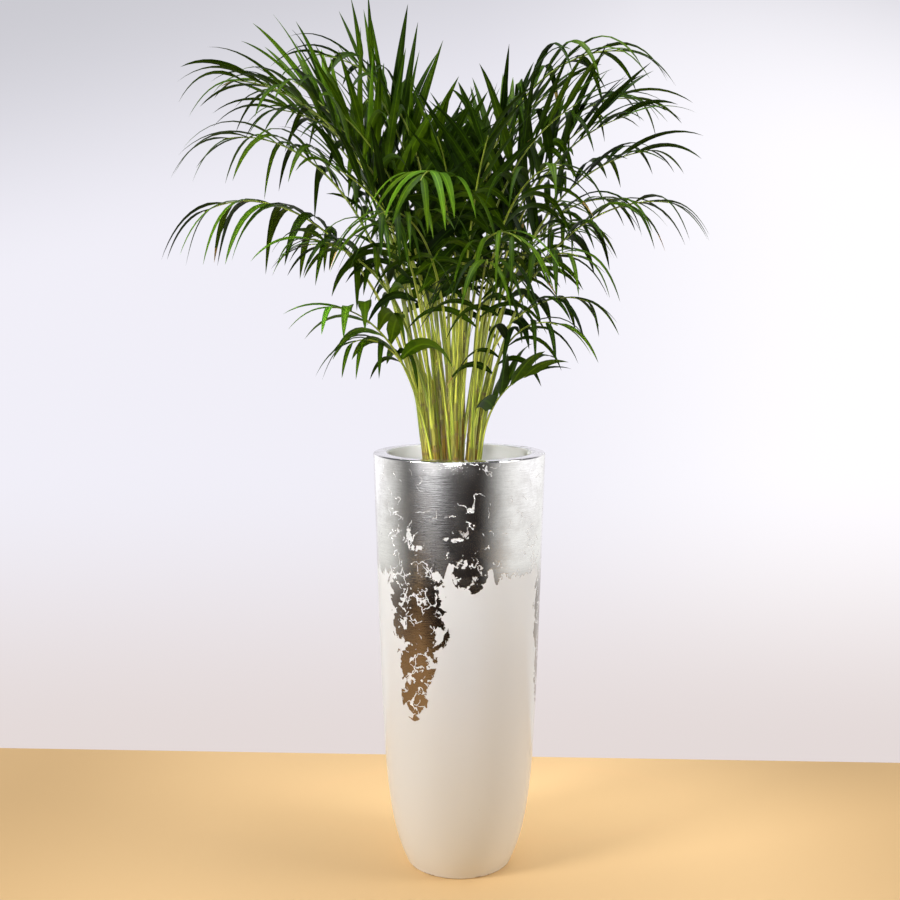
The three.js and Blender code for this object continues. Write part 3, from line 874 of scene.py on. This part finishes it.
greens = [  # darkest first
    ("deep", rgb(0.004, 0.010, 0.001), rgb(0.010, 0.024, 0.001)),
    ("shade", rgb(0.010, 0.026, 0.001), rgb(0.025, 0.055, 0.001)),
    ("middle", rgb(0.022, 0.054, 0.001), rgb(0.056, 0.108, 0.002)),
    ("fresh", rgb(0.045, 0.116, 0.004), rgb(0.096, 0.195, 0.008)),
    ("young", rgb(0.064, 0.190, 0.008), rgb(0.120, 0.270, 0.014)),
]
leafLook = {
    "specular": 0.06, "roughness": 0.40, "midribGain": 2.2, "relief": (0.0001, 0.2),
    "dryRoughness": 0.6, "dryDark": rgb(0.28, 0.17, 0.05), "dryLight": rgb(0.48, 0.36, 0.12),
    "grain": {"patch": (9.0, 3.0), "fleck": (120.0, 3.0, 0.6)},
    "span": {"light": (0.38, 0.62), "midrib": (0.80, 0.97)},
}


def ageOf(index):  # 0 for a young upright frond to 1 for an old arching one
    young, old = leaflet["tipLean"]
    return min(1, max(0, (fronds[index][5] - young) / (old - young)))


def leafletsOf(index, path):
    length = fronds[index][3]
    age = ageOf(index)
    count = max(leaflet["fewest"], round(length * (1 - leaflet["bareShare"]) / leaflet["spacing"]))
    full = leaflet["length"] * mixed(leaflet["shortShare"], 1, length / leaflet["longRib"])
    width = mixed(*leaflet["width"], age) * showy.get(index, 1)
    droop = mixed(*leaflet["droop"], age ** 1.3)
    made = []
    for pair in range(count):
        for side in (-1, 1):
            turn = noise(index * 97 + pair * 2 + (side + 1) / 2)
            rise = noise(index * 31.7 + pair * 5.3 + side * 1.7 + 0.4)
            place = (pair + 0.5 + leaflet["sideOffset"] * side) / count
            share = leaflet["bareShare"] + (1 - leaflet["bareShare"]) * place * leaflet["lastShare"]
            along, across, upper = ribFrame(index, share)
            axil = math.radians(mixed(*leaflet["axil"], place) + (turn - 0.5) * leaflet["axilSpread"])
            lift = mixed(*leaflet["lift"], age) - leaflet["liftFade"] * place
            lift = math.radians(lift + (rise - 0.5) * leaflet["liftSpread"])
            heading = along * math.cos(axil)
            heading += across * (math.sin(axil) * math.cos(lift) * side)
            heading += upper * (math.sin(axil) * math.sin(lift))
            swell = 0.62 + 0.42 * math.sin(math.pi * (0.12 + 0.8 * place)) - 0.10 * place ** 3
            made.append({
                "root": pointOnRib(path, share), "heading": heading, "along": along,
                "length": full * swell * (0.88 + 0.24 * rise),
                "width": width * (1 - leaflet["narrowing"] * place ** 2)
                * (0.8 + 0.4 * noise(pair * 7.7 + index + side)),
                "droop": droop * (0.6 + 0.8 * turn),
                "twist": noise(pair * 3.1 + index * 1.3 + side * 0.6) - 0.5,
                "spray": (pair // tones["sprayPairs"], side), "dice": noise(pair * 11.3 + index * 2.9 + side),
            })
    return made


def outline(t):  # half width of a blade along its length, as a share of its half width at the widest
    base = min(1, t / blade["baseReach"])
    base = mixed(blade["baseWidth"], 1, base * base * (3 - 2 * base))
    return base * (1 - t ** blade["taper"]) ** blade["rounding"] + blade["least"]


def bladePath(one, steps):  # the midrib, the half widths and the width directions there
    def heading(t):
        return (one["heading"] - up * (one["droop"] * t ** 1.3)).normalized()

    point = one["root"].copy()
    flat = one["along"]
    points, halves, acrosses = [], [], []
    for i in range(steps + 1):
        t = i / steps
        way = heading(t)
        flat = (flat - way * flat.dot(way)).normalized()
        turn = one["twist"] * t
        points.append(point.copy())
        halves.append(one["width"] / 2 * outline(t))
        acrosses.append(flat * math.cos(turn) + way.cross(flat) * math.sin(turn))
        point = point + heading((i + 0.5) / steps) * (one["length"] / steps)
    return points, halves, acrosses


def leafFinish(name, dark, light, roughness):
    pale = rgb(*[leafLook["midribGain"] * part for part in light[:3]])
    shade = Finish(name, {**leafLook, "dark": dark, "light": light, "pale": pale})
    fleck = shade.grain("fleck")
    colour = shade.layered("dark", (shade.rise(shade.grain("patch") * 0.7 + fleck * 0.3, "light"), "light"),
                           (shade.rise(shade.attribute("midrib"), "midrib") * 0.5, "pale"))
    return shade.done(colour, roughness + 0.14 * fleck, fleck)


def toneOf(index, one):  # which green a spray of a frond has: deeper inside the crown as painted shade, and brighter on showy fronds as painted light
    pairs, side = one["spray"]
    root = one["root"]
    inner = max(0, 1 - math.hypot(root.x - clump["x"], root.y) / tones["innerReach"])
    base = tones["mean"] + tones["frondSpread"] * (noise(index * 4.7) - 0.5) - tones["innerDrop"] * inner
    base += tones["showyRise"] if index in showy else 0
    tone = base + (noise(index * 13.7 + pairs * 3.9 + side) - 0.5) * tones["spraySpread"]
    return min(len(greens) - 1, max(0, round(tone)))


def makeLeaflets(paths):
    blades = bladeTree()
    byTone = [Strands() for green in greens]
    standFor = [set() for green in greens]
    dry = Strands()
    steps = leaflet["steps"]
    total = 0

    def grownBlades(name, strands, finish):
        return grown(name, strands.mesh(name), blades, leaflet["sharpAngle"],
                     {**leaflet["sweep"], "Material": finish})

    for index, path in enumerate(paths):
        for one in leafletsOf(index, path):
            points, halves, acrosses = bladePath(one, steps)
            tone = toneOf(index, one)
            end = steps + 1
            if one["dice"] < leaflet["dryShare"]:
                end = steps - 1
                dry.add(points[end - 1:], half=halves[end - 1:], across=acrosses[end - 1:])
            byTone[tone].add(points[:end], half=halves[:end], across=acrosses[:end])
            standFor[tone].add(f"frond_{index + 1:02d}")
            total += 1
    for (label, dark, light), strands, nodes in zip(greens, byTone, standFor):
        name = f"leaflets_{label}"
        finish = leafFinish(name, dark, light, leafLook["roughness"])
        seated(grownBlades(name, strands, finish), "leaf", *sorted(nodes))
    finish = leafFinish("dryTip", leafLook["dryDark"], leafLook["dryLight"], leafLook["dryRoughness"])
    seated(grownBlades("leaflet_dry_tips", dry, finish), "leaf")
    print("leaflets grown,", total)


makeLeaflets(ribPaths)


# Stage

stage = {
    "floor": [(-1.8, -1.25, 0), (1.8, -1.25, 0), (1.8, 0.515, 0), (-1.8, 0.675, 0)],
    "wall": [(-3.4, 3.2, -2.6), (3.4, 3.2, -2.6), (3.4, 3.2, 3.0), (-3.4, 3.2, 3.0)],
    "world": rgb(0.80, 0.80, 0.88), "worldStrength": 0.18,
}
floorLook = {
    "specular": 0.2, "roughness": 0.8, "near": rgb(0.77, 0.52, 0.255), "far": rgb(0.60, 0.395, 0.185),
    # glow is painted light round the planter; the far colour is painted shade towards the corners
    "unlit": rgb(0, 0, 0), "glow": rgb(0.38, 0.255, 0.12),
    "glowX": 0.10, "glowY": 0.30, "glowWide": 0.65, "glowDeep": 0.32,
    "span": {"far": (0.5, 1.15)},
}
wallLook = {
    # grey is painted shade for the top corners, bright is painted light at the right
    "specular": 0.0, "grey": rgb(0.60, 0.595, 0.64), "pale": rgb(0.88, 0.865, 0.94),
    "bright": rgb(1.02, 1.0, 1.04), "low": rgb(0.775, 0.70, 0.69), "middle": 0.9, "sideFall": 0.22,
    "span": {"pale": (-3.4, -2.0), "right": (0.0, 2.0), "upper": (-1.0, 0.5)},
}
room = {  # the studio that the silver mirrors; headings in degrees from the front, left ones below 0
    "radius": 3.6, "foot": -1.7, "top": 1.62, "reach": 152, "panels": 38, "specular": 0.0,
    "left": rgb(0.90, 0.90, 0.87), "right": rgb(0.98, 0.98, 0.96),
    "dark": rgb(0.016, 0.012, 0.011), "lamp": rgb(1.3, 1.3, 1.34),
    "lamps": [(-38, 19), (108, 36), (-138, 34)],  # headings and spreads
    "span": {"left": (-125, -55), "right": (24, 80), "lamps": (0.0, 0.24)},
}
lights = [  # name, place, target, sides, watts, spread in degrees
    ("keyLeft", (-2.7, -1.7, 2.5), (0, 0, 1.0), (0.9, 0.9), 88, 180),
    ("frontSoft", (-0.4, -3.1, 1.45), (0, 0, 1.02), (0.9, 0.5), 2.2, 30),
    ("topSoft", (0.2, -0.2, 3.9), (0, 0, 1.2), (1.6, 1.6), 75, 180),
    ("fillRight", (2.8, -0.8, 2.5), (0, 0, 0.9), (1.2, 1.2), 40, 180),
]
camera = {"lens": 46.8, "sensor": 36, "place": (-0.0197, -2.475, 1.1816), "down": 0.112}


def sheet(name, points, finish, faces=((0, 1, 2, 3),)):
    mesh = bpy.data.meshes.new(name)
    mesh.from_pydata(points, [], faces)
    mesh.materials.append(finish)
    piece = linked(name, mesh)
    return piece


def glowing(name, look):  # gives light of its own, so only its emission is coloured
    shade = Finish(name, look)
    shade.wear({"Base Color": rgb(0, 0, 0), "Emission Strength": 1.0})
    return shade


def surround():  # a curved screen, unseen by the camera, that is dark in front and fades up at both sides
    shade = glowing("studioScreen", room)
    x, y, z = shade.axes(shade.place)
    heading = shade.maths("ARCTAN2", x, 0 - y) * (180 / math.pi)
    glow = shade.highest(*[shade.bell((heading - middle) / spread) for middle, spread in room["lamps"]])
    shade.wear({"Emission Color": shade.layered(
        "dark", (1 - shade.rise(heading, "left"), "left"), (shade.rise(heading, "right"), "right"),
        (glow * shade.rise(z, "lamps"), "lamp"))})
    points = []
    for i in range(room["panels"] + 1):
        turn = math.radians(room["reach"] * (2 * i / room["panels"] - 1))
        x, y = room["radius"] * math.sin(turn), -room["radius"] * math.cos(turn)
        points += [(x, y, room["foot"]), (x, y, room["top"])]
    faces = [(2 * i, 2 * i + 2, 2 * i + 3, 2 * i + 1) for i in range(room["panels"])]
    sheet("screen", points, shade.material, faces).visible_camera = False


def floorFinish():  # warm board, with painted light that glows round the planter and painted shade that makes it dimmer towards its corners
    look = floorLook
    shade = Finish("paleFloor", look)
    x, y, z = shade.axes(shade.place)
    glow = shade.bell((x - look["glowX"]) / look["glowWide"], (y - look["glowY"]) / look["glowDeep"])
    shade.wear({"Base Color": shade.layered("near", (shade.rise(shade.maths("ABSOLUTE", x), "far"), "far")),
                "Emission Color": shade.layered("unlit", (glow, "glow")), "Emission Strength": 1.0,
                "Roughness": look["roughness"]})
    return shade.material


def wallFinish():  # pale paper that glows, with painted shade greyer towards its top corners and painted light brightest at the right
    shade = glowing("paleWall", wallLook)
    x, y, z = shade.axes(shade.place)
    aside = shade.maths("ABSOLUTE", x - wallLook["middle"])
    light = shade.rise(0 - aside * wallLook["sideFall"] - z, "pale")
    shade.wear({"Emission Color": shade.layered(
        "grey", (light, "pale"), (light * shade.rise(x, "right"), "bright"),
        (1 - shade.rise(z, "upper"), "low"))})
    return shade.material


def makeLights():
    for name, place, target, sides, watts, spread in lights:
        data = bpy.data.lights.new(name, "AREA")
        data.shape = "RECTANGLE"
        data.size, data.size_y = sides
        data.energy = watts
        data.spread = math.radians(spread)
        lamp = linked(name, data)
        lamp.location = place
        lamp.rotation_euler = (Vector(target) - Vector(place)).to_track_quat("-Z", "Y").to_euler()


def makeStage():
    sheet("floor", stage["floor"], floorFinish())
    sheet("wall", stage["wall"], wallFinish())
    surround()
    world = bpy.data.worlds.new("studio")
    world.use_nodes = True
    scene.world = world
    backdrop = world.node_tree.nodes["Background"]
    backdrop.inputs["Color"].default_value = stage["world"]
    backdrop.inputs["Strength"].default_value = stage["worldStrength"]


def makeCamera():
    data = bpy.data.cameras.new("camera")
    data.lens = camera["lens"]
    data.sensor_width = camera["sensor"]
    eye = linked("camera", data)
    eye.location = camera["place"]
    eye.rotation_euler = (math.pi / 2 - camera["down"], 0, 0)
    scene.camera = eye


makeStage()
makeLights()
makeCamera()
scene.view_settings.view_transform = "Standard"
print("stage set")
